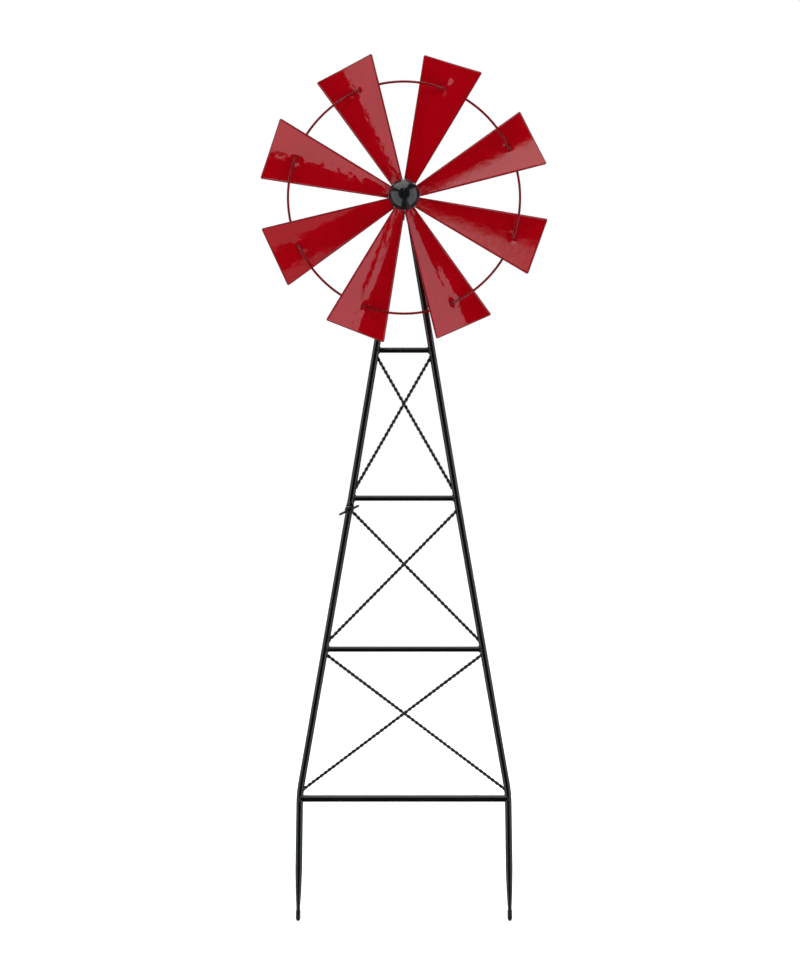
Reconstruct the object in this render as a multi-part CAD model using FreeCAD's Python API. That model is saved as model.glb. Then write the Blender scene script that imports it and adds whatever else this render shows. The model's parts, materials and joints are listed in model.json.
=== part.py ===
"""Garden windmill on a two-part tubular stake tower.

Millimetres, +Z up, the wheel faces -Y. The origin is on the ground line,
midway between the two stakes: the stakes are pushed into the soil until
the step bar lies on the ground at Z = 0.
"""
import FreeCAD, Part
import math
import os

V = FreeCAD.Vector
X_AXIS = V(1, 0, 0)
Y_AXIS = V(0, 1, 0)
Z_AXIS = V(0, 0, 1)
ORIGIN = V(0, 0, 0)

# ---------------------------------------------------------------- tubing
TUBE_R = 6.0            # 12 mm leg tube
TUBE_BORE_R = 5.2       # 0.8 mm wall
BAR_R = 4.75            # 9.5 mm cross bars and spigot
BAR_BORE_R = 3.95
BRACE_WIRE_R = 1.6      # each brace is two of these wires, laid round each other
BRACE_OFFSET = 3.3      # each brace of a cross passes this far in front or behind
BRACE_SPANS = {         # each cross: lower and upper ends, on the legs' middle lines
    "lower_brace_bottom": (18.0, 261.05),
    "lower_brace_top": (278.55, 514.6),
    "upper_brace": (540.15, 786.55),
}

# ----------------------------------------------- heights above the ground
STEP_BAR_Z = TUBE_R
BEND_Z = 15.6
MIDDLE_BAR_Z = 268.3
LOWER_LEFT_TOP_Z = 519.6
LOWER_RIGHT_TOP_Z = 521.7
JOINT_Z = 512.6
UPPER_LOW_BAR_Z = 533.4
UPPER_HIGH_BAR_Z = 793.3
AXLE_Z = 1056.8
LEG_TOP_Z = 1061.3      # highest point of the dressed leg ends
LEG_TOP_OVERRUN = 4.0   # a leg is made this much too long, then dressed
LEG_TOP_SLOPE = 39.0    # the dressed ends fall outwards at this angle
LEG_TOP_RIDGE_X = 11.0
LEFT_TOP_DROP = 6.0     # below LEG_TOP_Z, where the slope crosses the ridge line
RIGHT_TOP_DROP = 8.0

# ------------------------------------------ half distances between the legs
FOOT_HALF = 186.0
BEND_HALF = 182.9
LOWER_TOP_HALF = 94.8
UPPER_TOP_HALF = 4.4
BEND_RADIUS = 230.0

# ------------------------------------------------------------ ground stakes
STAKE_TIP_Z = -208.4
STAKE_TAPER_LENGTH = 90.0   # from the end of the full tube to the tip
STAKE_SHOULDER_R = 4.9
STAKE_SHOULDER_SHARE = 0.57
STAKE_NECK_R = 3.4
STAKE_NECK_LENGTH = 4.0
STAKE_NIB_R = 4.1
STAKE_NIB_LENGTH = 19.0
STAKE_NIB_FLARE = 1.5
STAKE_NOSE_R = 2.4
STAKE_NOSE_LENGTH = 3.0

# ------------------------------------------------- joint of the two frames
TAB_WIDTH = 13.4
TAB_THICKNESS = 2.6
TAB_BACK_Y = -TUBE_R - 0.05
TAB_HOLE_R = 4.25
TAB_FLAT_TOP = 8.5          # along the leg, above the hole
TAB_ROUND_START = 16.5
TAB_LAP = 1.0               # the loft's flat end starts this far inside the tab
STUD_R = 4.0
STUD_CHAMFER = 0.8
STUD_END_Y = -25.0
SPIGOT_BELOW = 50.0
SPIGOT_INSIDE = 40.0
SPIGOT_CHAMFER = 1.0
FRAME_GAP = 0.3
FACE_GAP = 0.02             # between faces that only touch
WASHER_R = 8.0
WASHER_THICKNESS = 1.6
NUT_CLEARANCE = 0.08

# -------------------------------------------------------------- wing nut
WING_BASE_R = 8.0
WING_COLLAR_R = 6.3
WING_COLLAR_HEIGHT = 8.0
WING_HALF_SPAN = 19.5
WING_HEIGHT = 19.0
WING_TIP_R = 4.6
WING_THICKNESS = 4.2
WING_ROOT_X = 3.0           # each wing starts inside the collar, clear of the thread
WING_REST_ANGLE = 25.0

# ------------------------------------------- axle, hub and ball bearings
AXLE_R = 5.0
AXLE_BACK_Y = 8.0
AXLE_CHAMFER = 0.9
HUB_MID_Y = -44.5
HUB_LENGTH = 46.0
HUB_R = 19.5
HUB_BORE_R = 17.5
BEARING_WIDTH = 11.0
BEARING_GAP = 11.0          # length of the two spacers between the bearings
BEARING_INNER_R = 8.85
BEARING_OUTER_LAND_R = 13.7
BALL_R = 3.2
RACE_GROOVE_R = 3.35
BALL_PITCH_R = 11.3
BALL_COUNT = 7
SHIELD_CLEARANCE = 0.3
SHIELD_THICKNESS = 0.5
SHIELD_INSET = 0.4
CAGE_INNER_R = 9.9
CAGE_OUTER_R = 12.7
CAGE_OPEN_SIDE = 2.2
CAGE_BACK_SIDE = 4.2
BORE_CLEARANCE = 0.02
RUNNING_CLEARANCE = 0.08
REAR_SPACER_Y = -8.0
REAR_SPACER_R = 8.0
INNER_SPACER_R = 7.5
OUTER_SPACER_BORE_R = 15.5
CIRCLIP_THICKNESS = 1.5
CIRCLIP_INNER_R = 14.3
CIRCLIP_GROOVE_R = 18.3
CIRCLIP_GROOVE_PLAY = 0.1
CIRCLIP_GAP_ANGLE = 30.0
CIRCLIP_LUG_R = 2.5
CIRCLIP_LUG_PITCH_R = 14.6
CIRCLIP_LUG_ANGLE = 22.0
CIRCLIP_HOLE_R = 1.0
AXLE_WASHER_R = 8.5
AXLE_WASHER_THICKNESS = 1.9
BALL_NUT_R = 27.5
BALL_NUT_FLAT_R = 8.0
BALL_NUT_HOLE_DEPTH = 20.0
AXLE_THREAD_LENGTH = 18.0

# ------------------------------------------------------ wheel of the mill
BLADE_COUNT = 8
FIRST_BLADE_ANGLE = 20.2    # clockwise from the top, seen from the front
BLADE_PITCH = 22.0          # the clockwise half of a blade stands forward
BLADE_TIP_Z = 248.3         # from the axle to the straight tip edge
BLADE_TIP_HALF = 57.9
BLADE_ROOT_HALF = 9.8
BLADE_THICKNESS = 0.9
BLADE_CORNER_R = 3.0
BLADE_ROOT_Z = 12.0         # the sheet is drawn from here, then coped to the hub
RIM_R = 202.0
RIM_WIRE_R = 2.15
RIM_BACK_SET = 8.0          # how far a rim arc runs on past each blade's middle line

CUT_REACH = 80.0            # size of the blocks that trim other shapes
POINT_TOLERANCE = 0.01


# ------------------------------------------------------------- small tools
def cylinder(start, end, radius):
    """Round bar between two points."""
    along = end - start
    return Part.makeCylinder(radius, along.Length, start, along)


def tube(start, end, radius, bore):
    """Round tube between two points."""
    return cylinder(start, end, radius).cut(cylinder(start, end, bore))


def ring(outer, inner, y_front, y_back):
    """Ring about the axle, between two planes across Y."""
    front = V(0, y_front, AXLE_Z)
    back = V(0, y_back, AXLE_Z)
    return tube(front, back, outer, inner)


def about_axle(shape, angle):
    """Turn a shape about the axle, clockwise as seen from the front."""
    turned = shape.copy()
    turned.rotate(V(0, 0, AXLE_Z), Y_AXIS, angle)
    return turned


def largest(shape):
    """The main solid of a trimmed shape."""
    return max(shape.Solids, key=lambda solid: solid.Volume)


def circles(shape):
    return [edge for edge in shape.Edges if edge.Curve.TypeId == "Part::GeomCircle"]


def lower_leg_x(z):
    """Half distance between the lower legs at a height above the bend."""
    share = (z - BEND_Z) / (LOWER_LEFT_TOP_Z - BEND_Z)
    return BEND_HALF + share * (LOWER_TOP_HALF - BEND_HALF)


def upper_leg_x(z):
    """Half distance between the upper legs at a height."""
    foot = lower_leg_x(LOWER_RIGHT_TOP_Z)
    share = (z - LOWER_RIGHT_TOP_Z) / (LEG_TOP_Z - LOWER_RIGHT_TOP_Z)
    return foot + share * (UPPER_TOP_HALF - foot)


def lower_point(side, z):
    return V(side * lower_leg_x(z), 0, z)


def upper_point(side, z):
    return V(side * upper_leg_x(z), 0, z)


# ------------------------------------------------------------- lower frame
def bent_path(top, corner, foot):
    """Straight leg, one bend at the corner, then the straight stake."""
    up = (top - corner).normalize()
    down = (foot - corner).normalize()
    turn = math.pi - up.getAngle(down)
    setback = BEND_RADIUS * math.tan(turn / 2)
    arc_start = corner + up * setback
    arc_end = corner + down * setback
    inward = (up + down).normalize()
    centre = corner + inward * (BEND_RADIUS / math.cos(turn / 2))
    arc_middle = centre - inward * BEND_RADIUS
    arc = Part.Arc(arc_start, arc_middle, arc_end).toShape()
    leg = Part.makeLine(top, arc_start)
    stake = Part.makeLine(arc_end, foot)
    return Part.Wire([leg, arc, stake])


def pipe(path, start, direction, radius):
    section = Part.Wire([Part.makeCircle(radius, start, direction)])
    return path.makePipeShell([section], True, False)


def stake_tip(foot, down):
    """Swaged end of the stake: a long taper, a neck and a blunt nib."""
    taper = STAKE_TAPER_LENGTH - STAKE_NIB_LENGTH
    points = [
        V(0, 0, 0),
        V(TUBE_R, 0, 0),
        V(STAKE_SHOULDER_R, 0, STAKE_SHOULDER_SHARE * taper),
        V(STAKE_NECK_R, 0, taper - STAKE_NECK_LENGTH),
        V(STAKE_NECK_R, 0, taper),
        V(STAKE_NIB_R, 0, taper + STAKE_NIB_FLARE),
        V(STAKE_NIB_R, 0, STAKE_TAPER_LENGTH - STAKE_NOSE_LENGTH),
        V(STAKE_NOSE_R, 0, STAKE_TAPER_LENGTH),
        V(0, 0, STAKE_TAPER_LENGTH),
        V(0, 0, 0),
    ]
    profile = Part.Face(Part.makePolygon(points))
    tip = profile.revolve(ORIGIN, Z_AXIS, 360)
    tip.Placement = FreeCAD.Placement(foot, FreeCAD.Rotation(Z_AXIS, down))
    return tip


def lower_leg_line(side, top_z):
    """Middle line of a leg down to the stake's taper, with its two directions."""
    top = lower_point(side, top_z)
    corner = V(side * BEND_HALF, 0, BEND_Z)
    tip = V(side * FOOT_HALF, 0, STAKE_TIP_Z)
    down = (tip - corner).normalize()
    foot = tip - down * STAKE_TAPER_LENGTH
    along = (corner - top).normalize()
    return bent_path(top, corner, foot), top, along, foot, down


def lower_leg(side, top_z):
    path, top, along, foot, down = lower_leg_line(side, top_z)
    outside = pipe(path, top, along, TUBE_R).fuse(stake_tip(foot, down)).removeSplitter()
    return outside.cut(pipe(path, top, along, TUBE_BORE_R))


def lower_leg_bodies():
    """Both legs as solid rods, for trimming what is welded against them."""
    rods = []
    for side in (-1, 1):
        path, top, along, _, _ = lower_leg_line(side, LOWER_RIGHT_TOP_Z)
        rods.append(pipe(path, top, along, TUBE_R))
    return rods[0].fuse(rods[1])


def upper_leg_bodies():
    """Both upper legs as solid rods, for trimming what is welded against them."""
    low = UPPER_LOW_BAR_Z - 2 * BAR_R
    rods = [cylinder(upper_point(side, low), upper_point(side, LEG_TOP_Z), TUBE_R) for side in (-1, 1)]
    return rods[0].fuse(rods[1])


def cross_bar(half, z, radius, bore, legs):
    bar = tube(V(-half, 0, z), V(half, 0, z), radius, bore)
    return largest(bar.cut(legs))


def brace(start, end, y, legs):
    """The round space that one twisted pair of wires fills, end to end."""
    front = V(0, y, 0)
    rod = cylinder(start + front, end + front, 2 * BRACE_WIRE_R)
    return largest(rod.cut(legs))


def brace_cross(name, leg_point, legs):
    """Two braces between the legs, one passing in front of the other."""
    low, high = BRACE_SPANS[name]
    made = {}
    for letter, side, y in (("a", -1, -BRACE_OFFSET), ("b", 1, BRACE_OFFSET)):
        made[f"{name}_{letter}"] = brace(leg_point(side, low), leg_point(-side, high), y, legs)
    return made


# ------------------------------------------------------------- upper frame
def top_trim(side, edge_z):
    """What is dressed off a leg's top: all above a plane that falls outwards."""
    half = CUT_REACH / 2
    box = Part.makeBox(CUT_REACH, CUT_REACH, CUT_REACH, V(-half, -half, 0))
    box.rotate(ORIGIN, Y_AXIS, side * LEG_TOP_SLOPE)
    box.translate(V(side * LEG_TOP_RIDGE_X, 0, edge_z))
    return box


def dressed(leg, side, drop):
    """Leg end coped round the axle and cut back to the other leg."""
    far_x = -CUT_REACH if side > 0 else 0
    half = CUT_REACH / 2
    other_half = Part.makeBox(CUT_REACH, CUT_REACH, CUT_REACH, V(far_x, -half, AXLE_Z - CUT_REACH))
    above = Part.makeBox(CUT_REACH, CUT_REACH, CUT_REACH, V(far_x, -half, AXLE_Z))
    axle_body = cylinder(V(0, -half, AXLE_Z), V(0, half, AXLE_Z), AXLE_R)
    return largest(leg.cut([top_trim(side, LEG_TOP_Z - drop), other_half, above, axle_body]))


def upper_leg_right():
    low = upper_point(1, LOWER_RIGHT_TOP_Z + FRAME_GAP)
    high = upper_point(1, LEG_TOP_Z + LEG_TOP_OVERRUN)
    return dressed(tube(low, high, TUBE_R, TUBE_BORE_R), 1, RIGHT_TOP_DROP)


def flattened_tab():
    """Flattened and joggled foot, built with the bolt hole at the origin."""
    half = TAB_WIDTH / 2
    front_y = TAB_BACK_Y - TAB_THICKNESS
    plate = Part.makeBox(TAB_WIDTH, TAB_THICKNESS, TAB_FLAT_TOP, V(-half, front_y, 0))
    round_end = cylinder(V(0, TAB_BACK_Y, 0), V(0, front_y, 0), half)
    circle = Part.Wire([Part.makeCircle(TUBE_R, V(0, 0, TAB_ROUND_START), Z_AXIS)])
    centre = V(0, (TAB_BACK_Y + front_y) / 2, TAB_FLAT_TOP - TAB_LAP)
    ellipse = Part.Ellipse(centre + V(half, 0, 0), centre + V(0, TAB_THICKNESS / 2, 0), centre)
    neck = Part.makeLoft([circle, Part.Wire([ellipse.toShape()])], True, True)
    hole = cylinder(ORIGIN, V(0, 2 * TAB_BACK_Y, 0), TAB_HOLE_R)
    return plate.fuse([round_end, neck]).cut(hole)


def joint_centre():
    return lower_point(-1, JOINT_Z)


def upper_leg_left():
    top = upper_point(-1, LEG_TOP_Z + LEG_TOP_OVERRUN)
    hole = upper_point(-1, JOINT_Z)
    up = (top - hole).normalize()
    start = hole + up * TAB_ROUND_START
    leg = tube(start, top, TUBE_R, TUBE_BORE_R)
    tab = flattened_tab()
    tab.Placement = FreeCAD.Placement(hole, FreeCAD.Rotation(Z_AXIS, up))
    return dressed(leg.fuse(tab).removeSplitter(), -1, LEFT_TOP_DROP)


def joint_spigot():
    """Rod fixed in the right upper leg, which plugs into the lower one."""
    end = upper_point(1, LOWER_RIGHT_TOP_Z)
    up = (upper_point(1, LEG_TOP_Z) - end).normalize()
    rod = cylinder(end - up * SPIGOT_BELOW, end + up * SPIGOT_INSIDE, BAR_R)
    rim = [edge for edge in circles(rod) if edge.CenterOfMass.z < end.z]
    return rod.makeChamfer(SPIGOT_CHAMFER, rim)


# ---------------------------------------------------------- bolted joint
def joint_stud():
    """Threaded stud welded to the front of the left lower leg."""
    centre = joint_centre()
    stud = cylinder(centre, centre + V(0, STUD_END_Y, 0), STUD_R)
    rim = [edge for edge in circles(stud) if abs(edge.CenterOfMass.y - STUD_END_Y) < POINT_TOLERANCE]
    return largest(stud.makeChamfer(STUD_CHAMFER, rim).cut(lower_leg_bodies()))


def joint_washer():
    centre = joint_centre()
    back = centre + V(0, TAB_BACK_Y - TAB_THICKNESS - FACE_GAP, 0)
    return tube(back, back - V(0, WASHER_THICKNESS, 0), WASHER_R, STUD_R + RUNNING_CLEARANCE)


def wing(side):
    """One flat wing, in the nut's own frame with its axis up."""
    reach = WING_HALF_SPAN - WING_TIP_R
    tip = V(side * reach, 0, WING_HEIGHT - WING_TIP_R)
    half = V(0, WING_THICKNESS / 2, 0)
    outline = [
        V(side * WING_ROOT_X, 0, 1.0),
        V(side * (WING_COLLAR_R + 3.5), 0, 3.5),
        V(side * WING_HALF_SPAN, 0, tip.z),
        V(side * reach, 0, WING_HEIGHT),
        V(side * (WING_COLLAR_R + 0.5), 0, WING_COLLAR_HEIGHT + 1.5),
        V(side * WING_ROOT_X, 0, WING_COLLAR_HEIGHT - 1.0),
        V(side * WING_ROOT_X, 0, 1.0),
    ]
    face = Part.Face(Part.makePolygon([point - half for point in outline]))
    plate = face.extrude(half * 2)
    return plate.fuse(cylinder(tip - half, tip + half, WING_TIP_R))


def wing_nut():
    collar = Part.makeCone(WING_BASE_R, WING_COLLAR_R, WING_COLLAR_HEIGHT)
    blank = collar.fuse([wing(-1), wing(1)])
    bore = Part.makeCylinder(STUD_R + NUT_CLEARANCE, WING_HEIGHT + 2, V(0, 0, -1))
    nut = blank.cut(bore).removeSplitter()
    nut.rotate(ORIGIN, Z_AXIS, WING_REST_ANGLE)
    nut.rotate(ORIGIN, X_AXIS, 90)
    seat = joint_centre() + V(0, TAB_BACK_Y - TAB_THICKNESS - WASHER_THICKNESS - 2 * FACE_GAP, 0)
    nut.translate(seat)
    return nut


# ------------------------------------------------------- axle and bearings
FRONT_BEARING_Y = HUB_MID_Y - (BEARING_GAP + BEARING_WIDTH) / 2
REAR_BEARING_Y = HUB_MID_Y + (BEARING_GAP + BEARING_WIDTH) / 2
STACK_FRONT_Y = FRONT_BEARING_Y - BEARING_WIDTH / 2
STACK_BACK_Y = REAR_BEARING_Y + BEARING_WIDTH / 2
WASHER_FRONT_Y = STACK_FRONT_Y - AXLE_WASHER_THICKNESS


def axle():
    """Rod welded across the top of the tower, threaded at its front end."""
    end_y = WASHER_FRONT_Y - AXLE_THREAD_LENGTH
    rod = cylinder(V(0, AXLE_BACK_Y, AXLE_Z), V(0, end_y, AXLE_Z), AXLE_R)
    return rod.makeChamfer(AXLE_CHAMFER, circles(rod))


def bearing(y):
    """Rings, shields, cage and balls of one deep-groove bearing."""
    front = y - BEARING_WIDTH / 2
    back = y + BEARING_WIDTH / 2
    race = Part.makeTorus(BALL_PITCH_R, RACE_GROOVE_R, V(0, y, AXLE_Z), Y_AXIS)
    inner = ring(BEARING_INNER_R, AXLE_R + BORE_CLEARANCE, front, back).cut(race)
    outer = ring(HUB_BORE_R - BORE_CLEARANCE, BEARING_OUTER_LAND_R, front, back).cut(race)
    shields = []
    for edge, inwards in ((front, 1), (back, -1)):
        near = edge + inwards * SHIELD_INSET
        far = near + inwards * SHIELD_THICKNESS
        bore = BEARING_INNER_R + SHIELD_CLEARANCE
        shields.append(ring(BEARING_OUTER_LAND_R - BORE_CLEARANCE, bore, near, far))
    cage = tube(V(0, -CAGE_OPEN_SIDE, 0), V(0, CAGE_BACK_SIDE, 0), CAGE_OUTER_R, CAGE_INNER_R)
    balls = []
    for index in range(BALL_COUNT):
        angle = 2 * math.pi * index / BALL_COUNT
        centre = V(BALL_PITCH_R * math.sin(angle), 0, BALL_PITCH_R * math.cos(angle))
        balls.append(Part.makeSphere(BALL_R, centre + V(0, y, AXLE_Z), Y_AXIS))
        cage = cage.cut(Part.makeSphere(RACE_GROOVE_R, centre, Y_AXIS))
    cage.translate(V(0, y, AXLE_Z))
    return {
        "bearing_inner_ring": inner,
        "bearing_outer_ring": outer,
        "bearing_shields": Part.makeCompound(shields),
        "bearing_cage": cage,
        "bearing_balls": Part.makeCompound(balls),
    }


def circlip(y_front):
    """Internal retaining ring with two plier lugs, its gap on the left."""
    y_back = y_front + CIRCLIP_THICKNESS
    clip = ring(CIRCLIP_GROOVE_R - CIRCLIP_GROOVE_PLAY, CIRCLIP_INNER_R, y_front, y_back)
    reach = CIRCLIP_GROOVE_R * 2
    gap = CIRCLIP_GAP_ANGLE / 2
    corners = [V(0, y_front - 1, AXLE_Z)]
    for angle in (270 - gap, 270 + gap):
        turn = math.radians(angle)
        corners.append(V(reach * math.sin(turn), y_front - 1, AXLE_Z + reach * math.cos(turn)))
    corners.append(corners[0])
    wedge = Part.Face(Part.makePolygon(corners)).extrude(V(0, CIRCLIP_THICKNESS + 2, 0))
    clip = clip.cut(wedge)
    for angle in (270 - CIRCLIP_LUG_ANGLE, 270 + CIRCLIP_LUG_ANGLE):
        turn = math.radians(angle)
        across = V(math.sin(turn), 0, math.cos(turn)) * CIRCLIP_LUG_PITCH_R
        near = V(0, y_front, AXLE_Z) + across
        far = near + V(0, CIRCLIP_THICKNESS, 0)
        clip = clip.fuse(cylinder(near, far, CIRCLIP_LUG_R)).cut(cylinder(near, far, CIRCLIP_HOLE_R))
    return clip.removeSplitter()


def hub_tube():
    half = HUB_LENGTH / 2
    hub = ring(HUB_R, HUB_BORE_R, HUB_MID_Y - half, HUB_MID_Y + half)
    play = CIRCLIP_GROOVE_PLAY / 2
    for clip_front in (STACK_FRONT_Y - CIRCLIP_THICKNESS, STACK_BACK_Y):
        clip_back = clip_front + CIRCLIP_THICKNESS
        hub = hub.cut(ring(CIRCLIP_GROOVE_R, HUB_BORE_R - 1, clip_front - play, clip_back + play))
    return hub


def ball_nut():
    """Ball with a flat seat and a blind threaded hole."""
    depth = math.sqrt(BALL_NUT_R ** 2 - BALL_NUT_FLAT_R ** 2)
    seat_y = WASHER_FRONT_Y - FACE_GAP
    ball = Part.makeSphere(BALL_NUT_R, V(0, seat_y - depth, AXLE_Z))
    half = CUT_REACH / 2
    behind = Part.makeBox(CUT_REACH, CUT_REACH, CUT_REACH, V(-half, seat_y, AXLE_Z - half))
    hole_end = V(0, seat_y - BALL_NUT_HOLE_DEPTH, AXLE_Z)
    hole = cylinder(V(0, seat_y + 1, AXLE_Z), hole_end, AXLE_R + NUT_CLEARANCE)
    return ball.cut([behind, hole])


# ------------------------------------------------------------------ wheel
def flat_blade():
    """Blade standing up from the axle, its face square to the front."""
    grow = (BLADE_TIP_HALF - BLADE_ROOT_HALF) / (BLADE_TIP_Z - HUB_R)
    root_half = BLADE_ROOT_HALF - grow * (HUB_R - BLADE_ROOT_Z)
    y = -BLADE_THICKNESS / 2
    corners = [
        V(-root_half, y, BLADE_ROOT_Z),
        V(-BLADE_TIP_HALF, y, BLADE_TIP_Z),
        V(BLADE_TIP_HALF, y, BLADE_TIP_Z),
        V(root_half, y, BLADE_ROOT_Z),
        V(-root_half, y, BLADE_ROOT_Z),
    ]
    sheet = Part.Face(Part.makePolygon(corners)).extrude(V(0, BLADE_THICKNESS, 0))
    tip_corners = [edge for edge in sheet.Edges if is_tip_corner(edge)]
    return sheet.makeFillet(BLADE_CORNER_R, tip_corners)


def is_tip_corner(edge):
    """True for the two short edges through the sheet's thickness at its tip."""
    first, last = edge.Vertexes
    at_tip = abs(edge.CenterOfMass.z - BLADE_TIP_Z) < POINT_TOLERANCE
    return at_tip and abs(first.X - last.X) < POINT_TOLERANCE


def blade(angle):
    sheet = flat_blade()
    sheet.rotate(ORIGIN, Z_AXIS, -BLADE_PITCH)
    sheet.translate(V(0, HUB_MID_Y, AXLE_Z))
    reach = V(0, CUT_REACH / 2, 0)
    middle = V(0, HUB_MID_Y, AXLE_Z)
    hub_body = cylinder(middle - reach, middle + reach, HUB_R)
    return about_axle(largest(sheet.cut(hub_body)), angle)


def blade_side(angle, front):
    """Everything behind a blade's front face, or everything in front of its back face."""
    half = BLADE_THICKNESS / 2
    y = -half if front else half - CUT_REACH
    box = Part.makeBox(2 * CUT_REACH, CUT_REACH, BLADE_TIP_Z, V(-CUT_REACH, y, 0))
    box.rotate(ORIGIN, Z_AXIS, -BLADE_PITCH)
    box.translate(V(0, HUB_MID_Y, AXLE_Z))
    return about_axle(box, angle)


def rim_arc(angle):
    """Wire from the back of one blade to the front of the next one clockwise."""
    step = 360.0 / BLADE_COUNT
    extra = math.degrees(RIM_BACK_SET / RIM_R)
    arc = Part.makeTorus(RIM_R, RIM_WIRE_R, ORIGIN, Z_AXIS, 0, 360, step + 2 * extra)
    arc.rotate(ORIGIN, X_AXIS, 90)
    arc.rotate(ORIGIN, Y_AXIS, -90 - extra + step + 2 * extra)
    arc.translate(V(0, HUB_MID_Y, AXLE_Z))
    arc = about_axle(arc, angle)
    arc = arc.cut(blade_side(angle, False))
    arc = arc.cut(blade_side(angle + step, True))
    return largest(arc)


# ------------------------------------------------------------ all sub-parts
def build():
    lower_bodies = lower_leg_bodies()
    upper_bodies = upper_leg_bodies()
    low_bar_half = upper_leg_x(UPPER_LOW_BAR_Z)
    high_bar_half = upper_leg_x(UPPER_HIGH_BAR_Z)
    gap_front = HUB_MID_Y - BEARING_GAP / 2
    gap_back = HUB_MID_Y + BEARING_GAP / 2
    axle_fit = AXLE_R + BORE_CLEARANCE
    hub_fit = HUB_BORE_R - BORE_CLEARANCE
    washer_back = STACK_FRONT_Y - FACE_GAP
    parts = {
        "lower_leg_left": lower_leg(-1, LOWER_LEFT_TOP_Z),
        "lower_leg_right": lower_leg(1, LOWER_RIGHT_TOP_Z),
        "step_bar": cross_bar(BEND_HALF, STEP_BAR_Z, TUBE_R, TUBE_BORE_R, lower_bodies),
        "middle_bar": cross_bar(lower_leg_x(MIDDLE_BAR_Z), MIDDLE_BAR_Z, BAR_R, BAR_BORE_R, lower_bodies),
        "upper_leg_left": upper_leg_left(),
        "upper_leg_right": upper_leg_right(),
        "upper_bar_low": cross_bar(low_bar_half, UPPER_LOW_BAR_Z, BAR_R, BAR_BORE_R, upper_bodies),
        "upper_bar_high": cross_bar(high_bar_half, UPPER_HIGH_BAR_Z, BAR_R, BAR_BORE_R, upper_bodies),
        "joint_spigot": joint_spigot(),
        "joint_stud": joint_stud(),
        "joint_washer": joint_washer(),
        "wing_nut": wing_nut(),
        "axle": axle(),
        "rear_spacer": ring(REAR_SPACER_R, axle_fit, STACK_BACK_Y, REAR_SPACER_Y),
        "inner_spacer": ring(INNER_SPACER_R, axle_fit, gap_front, gap_back),
        "outer_spacer": ring(hub_fit, OUTER_SPACER_BORE_R, gap_front, gap_back),
        "axle_washer": ring(AXLE_WASHER_R, AXLE_R + RUNNING_CLEARANCE, WASHER_FRONT_Y, washer_back),
        "ball_nut": ball_nut(),
        "hub_tube": hub_tube(),
        "front_circlip": circlip(STACK_FRONT_Y - CIRCLIP_THICKNESS),
        "rear_circlip": circlip(STACK_BACK_Y),
    }
    parts.update(brace_cross("lower_brace_bottom", lower_point, lower_bodies))
    parts.update(brace_cross("lower_brace_top", lower_point, lower_bodies))
    parts.update(brace_cross("upper_brace", upper_point, upper_bodies))
    for place, y in (("front", FRONT_BEARING_Y), ("rear", REAR_BEARING_Y)):
        for name, shape in bearing(y).items():
            parts[f"{place}_{name}"] = shape
    for index in range(BLADE_COUNT):
        angle = FIRST_BLADE_ANGLE + index * 360.0 / BLADE_COUNT
        parts[f"blade_{index + 1}"] = blade(angle)
        parts[f"rim_arc_{index + 1}"] = rim_arc(angle)
    return parts


os.makedirs("parts", exist_ok=True)
for node, shape in build().items():
    shape.exportStep(f"parts/{node}.step")
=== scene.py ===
"""Looks of the garden windmill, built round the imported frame.

Metres, +Z up, the wheel faces -Y, and the origin is on the ground line midway
between the stakes. Sizes written in MM are the real part's, in millimetres.
"""

import json
import math
from collections import namedtuple

import bmesh
import bpy
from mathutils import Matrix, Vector, noise


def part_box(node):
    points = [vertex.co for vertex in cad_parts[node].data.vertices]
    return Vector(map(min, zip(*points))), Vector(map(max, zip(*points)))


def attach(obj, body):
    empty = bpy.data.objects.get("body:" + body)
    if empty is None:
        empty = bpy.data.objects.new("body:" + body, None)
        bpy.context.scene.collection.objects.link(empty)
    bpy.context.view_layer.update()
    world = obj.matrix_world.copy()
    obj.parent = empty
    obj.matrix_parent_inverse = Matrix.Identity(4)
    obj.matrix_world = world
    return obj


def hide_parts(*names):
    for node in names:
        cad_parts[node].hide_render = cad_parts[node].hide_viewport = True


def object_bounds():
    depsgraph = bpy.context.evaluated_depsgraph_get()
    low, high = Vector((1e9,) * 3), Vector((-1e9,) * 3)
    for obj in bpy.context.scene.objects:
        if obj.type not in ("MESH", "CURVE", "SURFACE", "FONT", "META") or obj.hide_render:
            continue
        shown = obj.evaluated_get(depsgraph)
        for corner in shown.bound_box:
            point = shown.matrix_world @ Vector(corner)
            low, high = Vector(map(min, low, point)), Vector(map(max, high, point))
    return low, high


MM = 0.001
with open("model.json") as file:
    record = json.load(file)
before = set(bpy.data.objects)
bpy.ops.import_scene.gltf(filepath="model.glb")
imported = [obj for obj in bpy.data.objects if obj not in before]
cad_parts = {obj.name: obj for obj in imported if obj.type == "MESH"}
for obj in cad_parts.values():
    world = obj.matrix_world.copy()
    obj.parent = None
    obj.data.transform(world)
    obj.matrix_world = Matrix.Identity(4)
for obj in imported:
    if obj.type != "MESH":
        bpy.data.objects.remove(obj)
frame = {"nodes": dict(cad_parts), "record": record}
cad_low, cad_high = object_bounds()

# ---------------- sizes of the real part
TUBE_R = 6.0 * MM
BAR_R = 4.75 * MM
FRONT = Vector((0, -1, 0))
UP = Vector((0, 0, 1))

# the legs' middle lines: half distance between them and height, at two places
LOWER_LEG = ((182.9 * MM, 15.6 * MM), (94.8 * MM, 519.6 * MM))
UPPER_LEG = ((94.43 * MM, 521.7 * MM), (4.4 * MM, 1061.3 * MM))

# each bar: its legs, height and radius
BARS = {
    "step_bar": (LOWER_LEG, 6.0 * MM, TUBE_R),
    "middle_bar": (LOWER_LEG, 268.3 * MM, BAR_R),
    "upper_bar_low": (UPPER_LEG, 533.4 * MM, BAR_R),
    "upper_bar_high": (UPPER_LEG, 793.3 * MM, BAR_R),
}
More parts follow.
